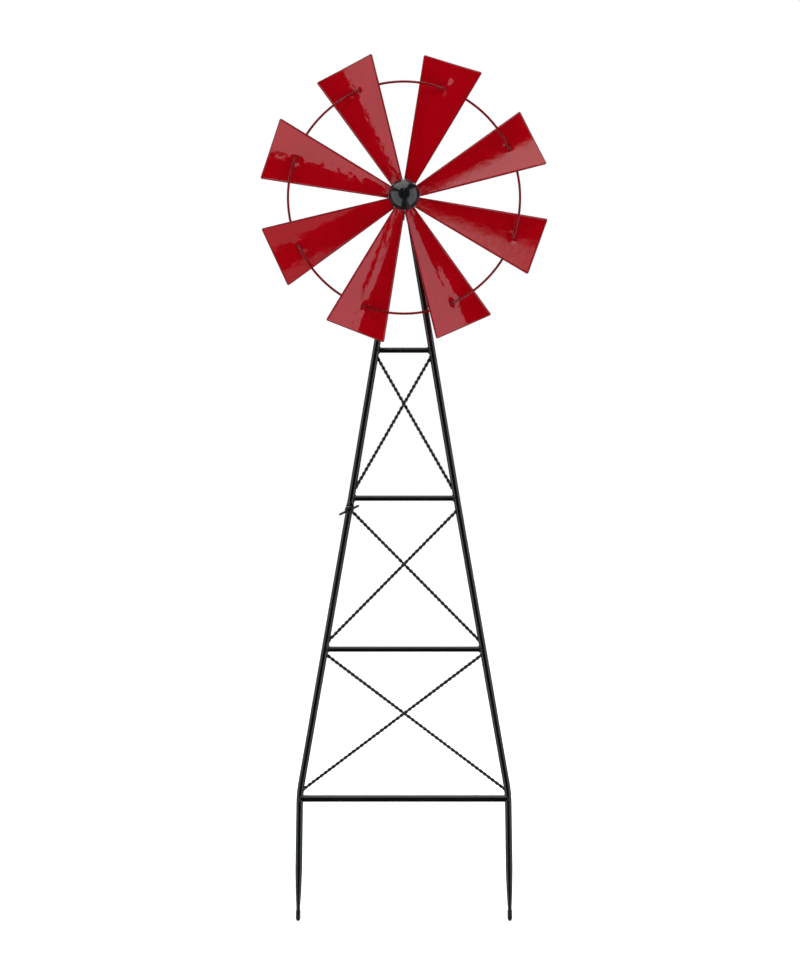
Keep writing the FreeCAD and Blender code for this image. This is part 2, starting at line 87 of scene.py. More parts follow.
# each cross of braces: its legs, and its ends' heights on the legs' middle lines
BRACE_PAIRS = {
    "lower_brace_bottom": (LOWER_LEG, 18.0 * MM, 261.05 * MM),
    "lower_brace_top": (LOWER_LEG, 278.55 * MM, 514.6 * MM),
    "upper_brace": (UPPER_LEG, 540.15 * MM, 786.55 * MM),
}
BRACE_OFFSET = 3.3 * MM         # each brace of a cross passes this far in front or behind
BRACE_WIRE_R = 1.6 * MM
BRACE_LAY = 17.6 * MM           # one full turn of the two wires round each other
BRACE_BURIED = 2.2 * MM         # each wire runs this far into its leg

AXLE_Z = 1056.8 * MM
AXLE_R = 5.0 * MM
HUB_MID_Y = -44.5 * MM
HUB_R = 19.5 * MM
BLADE_COUNT = 8
FIRST_BLADE_ANGLE = 20.2        # degrees clockwise from the top
BLADE_PITCH = math.radians(22.0)
BLADE_TIP_Z = 248.3 * MM
BLADE_TIP_HALF = 57.9 * MM
BLADE_ROOT_HALF = 9.8 * MM
BLADE_THICKNESS = 0.9 * MM
BLADE_CORNER_R = 3.8 * MM
RIM_R = 202.0 * MM
RIM_WIRE_R = 2.15 * MM
BALL_R = 27.5 * MM
BALL_SEAT_R = 8.0 * MM
BALL_HOLE_R = 5.08 * MM
BALL_HOLE_DEPTH = 20.0 * MM
BALL_HOLE_CHAMFER = 0.5 * MM

WING_REST_ANGLE = math.radians(25.0)
WING_TIP_R = 4.6 * MM
WING_THICKNESS = 4.2 * MM
WING_ROOT_HALF = 2.9 * MM
WING_ROOT_FLARE = 1.2 * MM      # a wing is this much thicker, each side, where it leaves the collar
# a wing's middle line across and off the seat: root, bend and the lobe's centre
WING_LINE = (Vector((4.9, 4.2)) * MM, Vector((9.4, 4.6)) * MM, Vector((14.9, 14.4)) * MM)
# the collar's outline: (radius, height off the seat) in mm, closed
WING_COLLAR = (
    (4.9, 0.0), (7.3, 0.0), (7.7, 0.12), (7.95, 0.5), (7.9, 1.0), (6.6, 6.9), (6.3, 7.5),
    (5.8, 7.9), (5.2, 8.0), (4.5, 7.9), (4.08, 7.3), (4.08, 0.8), (4.9, 0.0),
)

BEAD_RIPPLE = 1.6 * MM          # from one scale of a weld bead to the next
BEAD_RIPPLE_DEPTH = 0.09        # of the bead's radius
BEAD_WANDER = 0.28              # slower change of its radius
BEAD_WANDER_SCALE = 260.0       # per metre
BEAD_END_POWER = 0.35           # how bluntly an open bead ends
BEAD_SIDES = 10
BLOB_SWELL = 0.25
BLOB_SWELL_SCALE = 1.7


# ---------------- mesh helpers
def new_piece(name, body, slot_name, verts, faces, replaced=(), look=None):
    """One smooth-shaded piece that rides on a body, with its slot's material or a named one."""
    mesh = bpy.data.meshes.new(name)
    mesh.from_pydata([tuple(v) for v in verts], [], faces)
    mesh.update()
    mesh.shade_smooth()
    mesh.materials.append(materials[look or slot_name])
    piece = bpy.data.objects.new(name, mesh)
    bpy.context.scene.collection.objects.link(piece)
    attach(piece, body)
    if replaced:
        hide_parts(*replaced)
    return piece


class Builder:
    """Collects the verts and faces of several closed shapes for one piece."""

    def __init__(self):
        self.verts = []
        self.faces = []

    def add(self, verts, faces):
        base = len(self.verts)
        self.verts.extend(verts)
        self.faces.extend([tuple(base + i for i in face) for face in faces])

    def piece(self, name, body, slot_name, replaced=(), look=None):
        return new_piece(name, body, slot_name, self.verts, self.faces, replaced, look)


def perpendicular(direction):
    """Any unit vector square to a direction."""
    helper = UP if abs(direction.z) < 0.9 else Vector((1, 0, 0))
    return direction.cross(helper).normalized()


def sweep(points, radii, sides=12, closed=False):
    """Round rod through points, with a radius at each, its section carried without twist."""
    count = len(points)
    tangents = []
    for i in range(count):
        before = points[i - 1] if (closed or i > 0) else points[i]
        after = points[(i + 1) % count] if (closed or i < count - 1) else points[i]
        tangents.append((after - before).normalized())
    side = perpendicular(tangents[0])
    sides_at = [side]
    for i in range(1, count):
        turn = tangents[i - 1].rotation_difference(tangents[i])
        side = turn @ side
        side = (side - tangents[i] * side.dot(tangents[i])).normalized()
        sides_at.append(side)
    verts = []
    for i in range(count):
        other = tangents[i].cross(sides_at[i])
        for k in range(sides):
            angle = 2 * math.pi * k / sides
            spoke = sides_at[i] * math.cos(angle) + other * math.sin(angle)
            verts.append(points[i] + spoke * radii[i])
    faces = []
    rings = count if closed else count - 1
    shift = closing_shift(tangents, sides_at, sides) if closed else 0
    for i in range(rings):
        here = i * sides
        there = ((i + 1) % count) * sides
        turn = shift if closed and i == count - 1 else 0
        for k in range(sides):
            n = (k + 1) % sides
            faces.append((here + k, here + n, there + (n + turn) % sides, there + (k + turn) % sides))
    if not closed:
        faces.append(tuple(range(sides - 1, -1, -1)))
        faces.append(tuple(range((count - 1) * sides, count * sides)))
    return verts, faces


def closing_shift(tangents, sides_at, sides):
    """How many facets the last ring is turned against the first one."""
    turn = tangents[-1].rotation_difference(tangents[0])
    carried = turn @ sides_at[-1]
    other = tangents[0].cross(sides_at[0])
    angle = math.atan2(carried.dot(other), carried.dot(sides_at[0]))
    return round(angle / (2 * math.pi) * sides) % sides


def bead(points, radius, seed, closed=False):
    """Weld bead: a rod whose thickness ripples and wanders."""
    count = len(points)
    radii = []
    travelled = 0.0
    for i in range(count):
        if i:
            travelled += (points[i] - points[i - 1]).length
        wander = noise.noise(points[i] * BEAD_WANDER_SCALE + Vector((seed, 0, 0)))
        scale = math.sin(2 * math.pi * travelled / BEAD_RIPPLE)
        end = 1.0 if closed else math.sin(math.pi * (i + 0.5) / count) ** BEAD_END_POWER
        radii.append(radius * (1.0 + BEAD_WANDER * wander + BEAD_RIPPLE_DEPTH * scale) * end)
    return sweep(points, radii, BEAD_SIDES, closed)


def blob(centre, axes, seed, detail=3):
    """Lump of weld: a sphere stretched along three axes and made uneven."""
    rows, columns = 4 * detail, 6 * detail
    verts = [centre + axes[2]]
    for i in range(1, rows):
        polar = math.pi * i / rows
        out = math.sin(polar)
        for k in range(columns):
            turn = 2 * math.pi * k / columns
            unit = Vector((out * math.cos(turn), out * math.sin(turn), math.cos(polar)))
            uneven = noise.noise(unit * BLOB_SWELL_SCALE + Vector((seed, seed * 0.37, 0)))
            swell = 1.0 + BLOB_SWELL * uneven
            verts.append(centre + (axes[0] * unit.x + axes[1] * unit.y + axes[2] * unit.z) * swell)
    verts.append(centre - axes[2])
    faces = []
    for k in range(columns):
        n = (k + 1) % columns
        faces.append((0, 1 + k, 1 + n))
        for i in range(rows - 2):
            a = 1 + i * columns
            b = a + columns
            faces.append((a + k, b + k, b + n, a + n))
        last = 1 + (rows - 2) * columns
        faces.append((len(verts) - 1, last + n, last + k))
    return verts, faces


def lathe(profile, centre, steps):
    """Turns a profile of (radius, y) points about the wheel's axle direction."""
    pole_r = 1e-9
    verts = []
    for radius, y in profile:
        if radius < pole_r:
            verts.append(centre + Vector((0, y, 0)))
            continue
        for k in range(steps):
            turn = 2 * math.pi * k / steps
            verts.append(centre + Vector((radius * math.sin(turn), y, radius * math.cos(turn))))
    faces = []
    start = 0
    for (radius, _), (following, _) in zip(profile, profile[1:]):
        pole, next_pole = radius < pole_r, following < pole_r
        there = start + (1 if pole else steps)
        for k in range(steps):
            n = (k + 1) % steps
            if pole:
                faces.append((start, there + n, there + k))
            elif next_pole:
                faces.append((start + k, start + n, there))
            else:
                faces.append((start + k, start + n, there + n, there + k))
        start = there
    return verts, faces


# ---------------- material helpers
def socket_value(node, name, value):
    node.inputs[name].default_value = value


def new_material(name, base, roughness, metallic=0.0):
    """Principled material with its own node tree; returns (material, tree, shader)."""
    material = bpy.data.materials.new(name)
    material.use_nodes = True
    tree = material.node_tree
    shader = tree.nodes["Principled BSDF"]
    socket_value(shader, "Base Color", (*base, 1.0))
    socket_value(shader, "Roughness", roughness)
    socket_value(shader, "Metallic", metallic)
    return material, tree, shader


def scaled(colour, factor):
    """Colour made lighter or darker by a factor."""
    return tuple(factor * part for part in colour)


def noise_node(tree, scale, detail=2.0, stretch=None):
    """Noise in the object's own coordinates; stretch scales them first."""
    place = tree.nodes.new("ShaderNodeTexCoord").outputs["Object"]
    if stretch:
        mapping = tree.nodes.new("ShaderNodeMapping")
        socket_value(mapping, "Scale", stretch)
        tree.links.new(place, mapping.inputs["Vector"])
        place = mapping.outputs["Vector"]
    texture = tree.nodes.new("ShaderNodeTexNoise")
    socket_value(texture, "Scale", scale)
    socket_value(texture, "Detail", detail)
    tree.links.new(place, texture.inputs["Vector"])
    return texture.outputs["Fac"]


def colour_mix(tree, factor, low, high):
    """Colour that runs from low to high with a factor."""
    mix = tree.nodes.new("ShaderNodeMix")
    mix.data_type = "RGBA"
    mix.inputs["A"].default_value = (*low, 1.0)
    mix.inputs["B"].default_value = (*high, 1.0)
    tree.links.new(factor, mix.inputs["Factor"])
    return mix.outputs["Result"]


def remap(tree, value, from_low, from_high, to_low, to_high):
    """Stretches one range of a value over another and holds it at both ends."""
    node = tree.nodes.new("ShaderNodeMapRange")
    socket_value(node, "From Min", from_low)
    socket_value(node, "From Max", from_high)
    socket_value(node, "To Min", to_low)
    socket_value(node, "To Max", to_high)
    tree.links.new(value, node.inputs["Value"])
    return node.outputs["Result"]


def cloudy_value(tree, cloud, low, high, spread=0.2):
    """Number that runs from low to high over the middle part of a noise."""
    return remap(tree, cloud, 0.5 - spread, 0.5 + spread, low, high)


def cloudy_colour(tree, cloud, low, high, spread=0.2):
    """Colour that runs from low to high over the middle part of a noise."""
    return colour_mix(tree, cloudy_value(tree, cloud, 0.0, 1.0, spread), low, high)


def faded(tree, factor, value, data_type, target):
    """Value that a factor takes to a fixed colour ("RGBA") or number ("FLOAT")."""
    mix = tree.nodes.new("ShaderNodeMix")
    mix.data_type = data_type
    mix.inputs["B"].default_value = target
    tree.links.new(factor, mix.inputs["Factor"])
    tree.links.new(value, mix.inputs["A"])
    return mix.outputs["Result"]


def bumps(tree, shader, layers):
    """Chains bump layers of (height output, depth in metres) into the shader."""
    normal = None
    for height, depth in layers:
        node = tree.nodes.new("ShaderNodeBump")
        socket_value(node, "Strength", 1.0)
        socket_value(node, "Distance", depth)
        tree.links.new(height, node.inputs["Height"])
        if normal:
            tree.links.new(normal, node.inputs["Normal"])
        normal = node.outputs["Normal"]
    tree.links.new(normal, shader.inputs["Normal"])


def connect(tree, shader, colour, rough, layers):
    """Joins colour, roughness and bump layers to the shader."""
    tree.links.new(colour, shader.inputs["Base Color"])
    tree.links.new(rough, shader.inputs["Roughness"])
    bumps(tree, shader, layers)


# ---------------- materials
RED = (0.345, 0.0, 0.004)
RED_DULL = (0.325, 0.0, 0.0035)
RED_BRIGHT = (0.365, 0.0, 0.0045)
# darker red on a sheet's sheared edge: painted shade along the turned-back edge
RED_EDGE_PAINTED_SHADE = (0.12, 0.0, 0.003)
RED_EDGE_ROUGHNESS = 0.6
EDGE_ATTRIBUTE = "edge"         # 1 on a sheet's sheared edge, 0 on its flat
METAL_SHADE = 0.72              # darkest part of a metal's colour


def red_enamel(name, depth, rippled=False, ior=1.5):
    """Thick glossy enamel; a sheet's is rippled, dull at the sheared edges, and darker there as painted
    shade along the turned-back edge.
    """
    material, tree, shader = new_material(name, RED, 0.03)
    socket_value(shader, "IOR", ior)
    cloud = noise_node(tree, scale=14.0, detail=3.0)
    colour = cloudy_colour(tree, cloud, scaled(RED_DULL, depth), scaled(RED_BRIGHT, depth), spread=0.15)
    rough = cloudy_value(tree, noise_node(tree, scale=45.0), low=0.02, high=0.045)
    layers = [(noise_node(tree, scale=420.0, detail=1.0), 0.004 * MM)]
    if rippled:
        # a sheet's sheared edge gets a dull roughness and a darker colour; the darker colour is painted
        # shade along the turned-back edge
        edge = tree.nodes.new("ShaderNodeAttribute")
        edge.attribute_name = EDGE_ATTRIBUTE
        colour = faded(tree, edge.outputs["Fac"], colour, "RGBA", (*RED_EDGE_PAINTED_SHADE, 1.0))
        rough = faded(tree, edge.outputs["Fac"], rough, "FLOAT", RED_EDGE_ROUGHNESS)
        layers.append((noise_node(tree, scale=75.0), 0.10 * MM))
    connect(tree, shader, colour, rough, layers)
    return material


def black_powder_coat():
    """Semi-gloss powder coat with a faint orange peel."""
    material, tree, shader = new_material("black_powder_coat", (0.003, 0.003, 0.0035), 0.15)
    socket_value(shader, "IOR", 1.5)
    cloud = noise_node(tree, scale=30.0, detail=3.0)
    colour = cloudy_colour(tree, cloud, low=(0.002, 0.002, 0.0024), high=(0.0045, 0.0048, 0.0055))
    rough = cloudy_value(tree, noise_node(tree, scale=60.0), low=0.11, high=0.18)
    peel = (noise_node(tree, scale=900.0), 0.006 * MM)
    waves = (noise_node(tree, scale=160.0), 0.015 * MM)
    connect(tree, shader, colour, rough, [peel, waves])
    return material


def black_hardware():
    """Thin black coating on a cast nut and a washer."""
    material, tree, shader = new_material("black_hardware", (0.012, 0.012, 0.013), 0.34)
    cloud = noise_node(tree, scale=140.0, detail=3.0)
    colour = cloudy_colour(tree, cloud, low=(0.008, 0.008, 0.009), high=(0.024, 0.024, 0.025))
    rough = cloudy_value(tree, cloud, low=0.26, high=0.42)
    connect(tree, shader, colour, rough, [(noise_node(tree, scale=1100.0), 0.02 * MM)])
    return material


def ball_gloss():
    """Polished black ball."""
    material, tree, shader = new_material("ball_gloss", (0.005, 0.005, 0.006), 0.11)
    socket_value(shader, "IOR", 1.52)
    cloud = noise_node(tree, scale=60.0, detail=3.0)
    colour = colour_mix(tree, cloud, (0.005, 0.005, 0.006), (0.009, 0.009, 0.010))
    rough = cloudy_value(tree, noise_node(tree, scale=120.0, detail=3.0), low=0.14, high=0.20)
    connect(tree, shader, colour, rough, [(noise_node(tree, scale=90.0, detail=1.0), 0.02 * MM)])
    return material


def steel(name, base, rough, scale, depth, stretch=None):
    """Bare or plated metal with fine marks of its making; rough is (lowest, highest)."""
    material, tree, shader = new_material(name, base, rough[0], 1.0)
    cloud = noise_node(tree, scale=220.0, detail=3.0)
    colour = cloudy_colour(tree, cloud, scaled(base, METAL_SHADE), base)
    grain = noise_node(tree, scale, 2.0, stretch)
    connect(tree, shader, colour, cloudy_value(tree, grain, *rough), [(grain, depth)])
    return material


materials = {
    "red_sheet": red_enamel("red_enamel_sheet", 1.05, rippled=True),
    "red_paint": red_enamel("red_enamel", 0.85),
    # the rim wires and their welds get this enamel at about half the blades' brightness: painted shade
    # standing in for the dark room the thin wires reflect
    "red_wire_painted_shade": red_enamel("red_enamel_wire_painted_shade", 0.50, ior=1.40),
    "black_paint": black_powder_coat(),
    "black_hardware": black_hardware(),
    "ball_gloss": ball_gloss(),
    "bearing_steel": steel("bearing_steel", (0.74, 0.74, 0.72), (0.14, 0.26), 900.0, 0.002 * MM, (1, 12, 1)),
    "pressed_steel": steel("pressed_steel", (0.62, 0.62, 0.55), (0.26, 0.42), 700.0, 0.006 * MM),
    "spring_steel": steel("spring_steel", (0.10, 0.095, 0.085), (0.35, 0.5), 600.0, 0.008 * MM),
    "zinc_plate": steel("zinc_plate", (0.46, 0.47, 0.49), (0.24, 0.40), 500.0, 0.006 * MM),
}


def dress_cad_nodes():
    """Gives every CAD node the material of its slot in the record."""
    for row in frame["record"]["subparts"]:
        node = frame["nodes"][row["node"]]
        node.data.materials.clear()
        node.data.materials.append(materials[row["material_slot"]])


# ---------------- tower
WIRE_SPACING = 0.95             # from the brace's middle line to a wire's, in wire radii
WIRE_STEPS = 16                 # points along one lay of a wire
WIRE_SIDES = 10
WIRE_SWAY = 0.25                # how far the lay wanders, in radians
WIRE_SWAY_SCALE = 40.0          # per metre
BRACE_WELD = (2.8 * MM, 3.1 * MM, 3.3 * MM)     # half lengths: along the brace, forwards, across
BRACE_WELD_SUNK = 0.3 * MM
BAR_WELD_R = 1.15 * MM
BAR_WELD_LIFT = 0.35 * MM       # from the tubes' surfaces to the bead's middle line
BAR_WELD_LEAST = 1.2 * MM       # least distance of that line from the leg's middle plane
BAR_WELD_STEPS = 44
APEX_WELD_R = 1.5 * MM
APEX_SEAM = (36.0, 7.0)         # lower and upper end of the legs' seam, mm below the axle
APEX_SEAM_LIFT = 0.3 * MM
APEX_SEAM_STEPS = 25
AXLE_WELD_LIFT = 0.7 * MM
AXLE_WELD_Y = 3.9 * MM
AXLE_WELD_HALF_TURN = 150       # the bead round the axle leaves a gap at the top
AXLE_WELD_STEPS = 29


def leg_point(leg, side, z):
    """Point on a leg's middle line at a height."""
    (low_x, low_z), (high_x, high_z) = leg
    share = (z - low_z) / (high_z - low_z)
    return Vector((side * (low_x + share * (high_x - low_x)), 0, z))


def leg_direction(leg, side):
    """Upward direction along a leg."""
    return (leg_point(leg, side, 1.0) - leg_point(leg, side, 0.0)).normalized()


def twisted_pair(name, start, end, seed):
    """Two wires laid round each other from one leg to the other."""
    span = end - start
    along = span.normalized()
    other = along.cross(FRONT)
    steps = int(span.length / BRACE_LAY * WIRE_STEPS)
    pair = Builder()
    for half in (0.0, math.pi):
        points = []
        for i in range(steps + 1):
            travelled = span.length * i / steps
            sway = WIRE_SWAY * noise.noise(Vector((travelled * WIRE_SWAY_SCALE, seed, half)))
            angle = half + seed + 2 * math.pi * travelled / BRACE_LAY + sway
            spoke = FRONT * math.cos(angle) + other * math.sin(angle)
            points.append(start + along * travelled + spoke * WIRE_SPACING * BRACE_WIRE_R)
        pair.add(*sweep(points, [BRACE_WIRE_R] * len(points), WIRE_SIDES))
    piece_name = name.replace("brace", "twisted_brace")
    return pair.piece(piece_name, "tower", "black_paint", (name,))


def brace_ends(leg, side, low, high, y):
    """Where a brace's middle line comes out of its two legs."""
    start, end = leg_point(leg, side, low), leg_point(leg, -side, high)
    along = (end - start).normalized()
    found = []
    for point, leg_side, way in ((start, side, along), (end, -side, -along)):
        lean = way.cross(leg_direction(leg, leg_side)).length
        reach = math.sqrt(TUBE_R ** 2 - y ** 2) / lean
        found.append(point + Vector((0, y, 0)) + way * reach)
    return found, along


def make_braces():
    """Every twisted brace, with a lump of weld at each end."""
    welds = Builder()
    for number, (name, (leg, low, high)) in enumerate(BRACE_PAIRS.items()):
        for letter, side, y in (("a", -1, -BRACE_OFFSET), ("b", 1, BRACE_OFFSET)):
            (start, end), along = brace_ends(leg, side, low, high, y)
            seed = number * 2.3 + side
            buried = along * BRACE_BURIED
            twisted_pair(f"{name}_{letter}", start - buried, end + buried, seed)
            for point, way, turn in ((start, along, 0.0), (end, -along, 5.0)):
                lengths = zip((way, FRONT, way.cross(FRONT)), BRACE_WELD)
                axes = [direction * length for direction, length in lengths]
                welds.add(*blob(point - way * BRACE_WELD_SUNK, axes, seed + turn))
    return welds.piece("welds_braces", "tower", "black_paint")


def bar_joint_curve(leg, side, z, radius):
    """Closed line just above where a bar's surface meets its leg."""
    direction = leg_direction(leg, side)
    middle = leg_point(leg, side, z)
    around = radius + BAR_WELD_LIFT
    points = []
    for i in range(BAR_WELD_STEPS):
        turn = 2 * math.pi * i / BAR_WELD_STEPS
        y = around * math.cos(turn)
        rise = around * math.sin(turn)
        inner = math.sqrt(max((TUBE_R + BAR_WELD_LIFT) ** 2 - y ** 2, BAR_WELD_LEAST ** 2))
        x = middle.x + (-side * inner + rise * direction.x) / direction.z
        points.append(Vector((x, y, z + rise)))
    return points


def make_bar_welds():
    """A bead round both ends of every bar."""
    welds = Builder()
    for number, (leg, z, radius) in enumerate(BARS.values()):
        for side in (-1, 1):
            points = bar_joint_curve(leg, side, z, radius)
            welds.add(*bead(points, BAR_WELD_R, number * 3.1 + side, closed=True))
    return welds.piece("welds_bars", "tower", "black_paint")


def make_apex_welds():
    """Beads along the seam of the two legs and round the axle, front and back."""
    welds = Builder()
    low, high = APEX_SEAM
    out = AXLE_R + AXLE_WELD_LIFT
    for way in (-1, 1):
        seam = []
        for i in range(APEX_SEAM_STEPS + 1):
            z = AXLE_Z - (low + (high - low) * i / APEX_SEAM_STEPS) * MM
            gap = leg_point(UPPER_LEG, 1, z).x
            depth = math.sqrt(max(TUBE_R ** 2 - gap ** 2, 0.0))
            seam.append(Vector((0, way * (depth + APEX_SEAM_LIFT), z)))
        welds.add(*bead(seam, APEX_WELD_R, 7.0 + way))
        ring = []
        for i in range(AXLE_WELD_STEPS + 1):
            turn = math.radians(AXLE_WELD_HALF_TURN * (2 * i / AXLE_WELD_STEPS - 1))
            ring.append(Vector((out * math.sin(turn), way * AXLE_WELD_Y, AXLE_Z - out * math.cos(turn))))
        welds.add(*bead(ring, APEX_WELD_R, 11.0 + way))
    return welds.piece("welds_apex", "tower", "black_paint")


# ---------------- wheel
# lean and ease: change of pitch at the tip, and how much less it is at the root, degrees
# camber: curvature across the sheet, 1/m; twist: extra turn of both edges, 1/m2
# wave: depth of the broad waves, mm; ragged and streaks: strength of the fine ones
# pull: spread and strength of the dimples at the rim wires' welds
# wire_end: how far the front wire runs on past the middle line, mm
BladeShape = namedtuple("BladeShape", "lean ease camber twist wave ragged streaks pull wire_end")
BLADE_SHAPES = (
    BladeShape(-0.4, 0.0, 1.30, 0.0, 0.20, 0.2, 0.3, 9.0, 1.0),
    BladeShape(0.1, 1.1, 1.45, 0.0, 0.20, 0.3, 0.5, 1.0, 1.0),
    BladeShape(0.2, 1.3, 1.10, 0.0, 0.30, 0.4, 1.0, 1.0, 0.5),
    BladeShape(0.3, 1.0, 1.35, 0.0, 0.26, 0.5, 3.0, 1.0, 2.0),
    BladeShape(-0.1, 1.0, 1.40, 0.0, 0.28, 0.8, 3.5, 1.0, 1.0),
    BladeShape(-0.2, 0.0, 0.60, 11.0, 0.30, 1.3, 1.0, 1.0, 2.0),
    BladeShape(0.3, 1.5, 1.40, 0.0, 0.30, 2.6, 0.3, 1.0, 1.0),
    BladeShape(0.3, 0.7, 1.45, 0.0, 0.26, 1.2, 0.3, 0.5, 7.0),
)
BOW_GROWTH = 60.0 * MM          # a sheet is flat at the hub and fully bowed this far out
# waves per metre, across and along a blade
WAVE_SCALE = (13.0, 11.0)
RAGGED_SCALE = (80.0, 110.0)
STREAK_SCALE = (75.0, 9.0)
RAGGED_DEPTH = 0.03 * MM
STREAK_DEPTH = 0.03 * MM
# dimples at the welds of the front wire and of the back one: x from the front wire's end
# or the middle line, distance outside the rim, and how far both wander
FRONT_PULL_DEPTH = 0.42 * MM
FRONT_PULL_POWER = 0.58         # how fast the depth grows with the pull
FRONT_PULL_SIZE = 3.6 * MM
FRONT_PULL_X = 5.0
FRONT_PULL_OUT = 1.5
BACK_PULL_DEPTH = -0.22 * MM
BACK_PULL_SIZE = 4.6 * MM
BACK_PULL_X = -6.0
BACK_PULL_OUT = -5.0
PULL_WANDER = (2.0, 3.0)

BLADE_ROWS = 88
BLADE_COLUMNS = 42
CORNER_ROWS = 5                 # rows of a blade's grid that round its tip corners
CLOSE_COLUMNS = (0.0, 0.12, 0.35, 0.75)     # extra ones along each edge, for its roll
ROLL_WIDTH = 2.2 * MM
ROLL_SAG = 0.35 * MM            # the edges turn back by this much
EDGE_GAIN = 1.35                # above 1, the dark band of painted shade is full before the very edge
MERGE_DISTANCE = 0.002 * MM

RIM_BACK_END = 1.5 * MM         # a wire's back end lies this far past the blade's middle line
RIM_STEPS = 96
RIM_SIDES = 14
RIM_TIP_SHARES = (0.55, 0.86)   # its two last sections are this much of its radius
RIM_BLEND = 1.5 * MM            # how softly it leaves a blade
RIM_WELD = (3.0 * MM, 2.9 * MM, 1.5 * MM)   # half lengths: along the wire, across, off the sheet
RIM_WELD_BACK = 1.2 * MM        # from the wire's end to the weld's middle
RIM_WELD_SUNK = 0.75            # from the wire's middle line towards the sheet, in wire radii
RIM_WELD_REACH = 5              # the wire's direction at its end is taken over this many steps
SPATTER_COUNT = 3
SPATTER_R = 0.55 * MM
SPATTER_R_CHANGE = 0.3 * MM
SPATTER_SPREAD = (5.5 * MM, 6.0 * MM)   # along and across the wire
SPATTER_AWAY = 3.4 * MM         # least distance from the weld's middle, across the wire
SPATTER_SUNK = 0.45 * MM
SPATTER_FLATNESS = 0.8
HUB_WELD_R = 1.35 * MM
HUB_WELD_LIFT = 0.35 * MM
HUB_WELD_SIDE = 0.75 * MM
HUB_WELD_SHARE = 0.97           # of the blade's root
HUB_WELD_STEPS = 21


def blade_half(z):
    """Half width of a blade at a distance from the axle."""
    return BLADE_ROOT_HALF + (BLADE_TIP_HALF - BLADE_ROOT_HALF) * (z - HUB_R) / (BLADE_TIP_Z - HUB_R)


def ripple(x, z, scale, seed):
    """Noise over a blade, with its own scale across and along."""
    return noise.noise(Vector((x * scale[0], seed, z * scale[1])))


def blade_bow(index, x, z):
    """How far the sheet lies behind its flat plane at a point."""
    shape = BLADE_SHAPES[index]
    grown = min(max((z - HUB_R) / BOW_GROWTH, 0.0), 1.0)
    slack = shape.ease * (BLADE_TIP_Z - z) / (BLADE_TIP_Z - HUB_R)
    bow = 0.5 * shape.camber * (blade_half(z) ** 2 / 3 - x ** 2)
    bow -= math.tan(math.radians(shape.lean - slack)) * x + shape.twist * x ** 3
    bow += shape.wave * MM * ripple(x, z, WAVE_SCALE, index * 5.7)
    bow += shape.ragged * RAGGED_DEPTH * ripple(x, z, RAGGED_SCALE, index * 3.1)
    bow += shape.streaks * STREAK_DEPTH * ripple(x, z, STREAK_SCALE, index * 2.3)
    bow *= grown
    for px, pz, depth, size in weld_pulls(index, shape):
        gap = ((x - px) ** 2 + (z - pz) ** 2) / (2 * size ** 2)
        bow += depth * math.exp(-gap)
    return bow


def weld_pulls(index, shape):
    """Dimples that the two rim welds leave: (x, z, depth, size)."""
    wander = noise.noise(Vector((index * 1.7, 4.0, 0)))
    pull = shape.pull
    spread = math.sqrt(pull)
    wander_x, wander_z = (reach * wander for reach in PULL_WANDER)
    front_x = (shape.wire_end + FRONT_PULL_X / spread + wander_x) * MM
    front_z = RIM_R + (wander_z + FRONT_PULL_OUT * (spread - 1)) * MM
    back_x = (BACK_PULL_X + wander_x) * MM
    back_z = RIM_R + BACK_PULL_OUT * MM
    return (
        (front_x, front_z, FRONT_PULL_DEPTH * pull ** FRONT_PULL_POWER, FRONT_PULL_SIZE * spread),
        (back_x, back_z, BACK_PULL_DEPTH * min(pull, 1 / pull), BACK_PULL_SIZE),
    )


def blade_place(index, x, y, z):
    """Point of a blade's own frame (x clockwise, y back, z outwards) in the row frame."""
    across = x * math.cos(BLADE_PITCH) + y * math.sin(BLADE_PITCH)
    depth = -x * math.sin(BLADE_PITCH) + y * math.cos(BLADE_PITCH)
    return wheel_place(index, across, depth, z)


def wheel_place(index, across, depth, out):
    """The same for a point that isn't pitched: across is clockwise, depth is back."""
    turn = math.radians(FIRST_BLADE_ANGLE + index * 360.0 / BLADE_COUNT)
    x = across * math.cos(turn) + out * math.sin(turn)
    z = -across * math.sin(turn) + out * math.cos(turn)
    return Vector((x, HUB_MID_Y + depth, AXLE_Z + z))


def blade_outline(row, column):
    """(x, z) of a grid point of a blade, with its coped root and rounded tip corners."""
    share = -1 + 2 * column / BLADE_COLUMNS
    straight_rows = BLADE_ROWS - CORNER_ROWS
    if row > straight_rows:
        angle = math.pi / 2 * (row - straight_rows) / CORNER_ROWS
        z = BLADE_TIP_Z - BLADE_CORNER_R * (1 - math.sin(angle))
        half = blade_half(z) - BLADE_CORNER_R * (1 - math.cos(angle))
        return share * half, z
    bottom = coped_root(share)
    z = bottom + (BLADE_TIP_Z - BLADE_CORNER_R - bottom) * row / straight_rows
    return share * blade_half(z), z


def coped_root(share):
    """Distance from the axle at which the sheet meets the hub, found in a few steps."""
    bottom = HUB_R
    for _ in range(4):
        x = share * blade_half(bottom)
        bottom = math.sqrt(HUB_R ** 2 - (x * math.cos(BLADE_PITCH)) ** 2)
    return bottom


def blade_columns():
    """Column numbers with extra ones close to both edges, for the edge's roll."""
    far_side = [BLADE_COLUMNS - near for near in reversed(CLOSE_COLUMNS)]
    return [*CLOSE_COLUMNS, *range(2, BLADE_COLUMNS - 1), *far_side]


def blade_points(index, stations):
    """Points of the front and back grids, and how much each belongs to an edge."""
    verts, edge = [], []
    for face_side in (-1, 1):
        for row in range(BLADE_ROWS + 1):
            for column in stations:
                x, z = blade_outline(row, column)
                border = max(min(blade_half(z) - abs(x), BLADE_TIP_Z - z), 0.0)
                near = max(1 - border / ROLL_WIDTH, 0.0)
                thin = BLADE_THICKNESS / 2 * math.sqrt(max(1 - near ** 2, 0.0))
                y = blade_bow(index, x, z) + ROLL_SAG * near ** 2 + face_side * thin
                verts.append(blade_place(index, x, y, z))
                edge.append(min(near * EDGE_GAIN, 1.0))
    return verts, edge


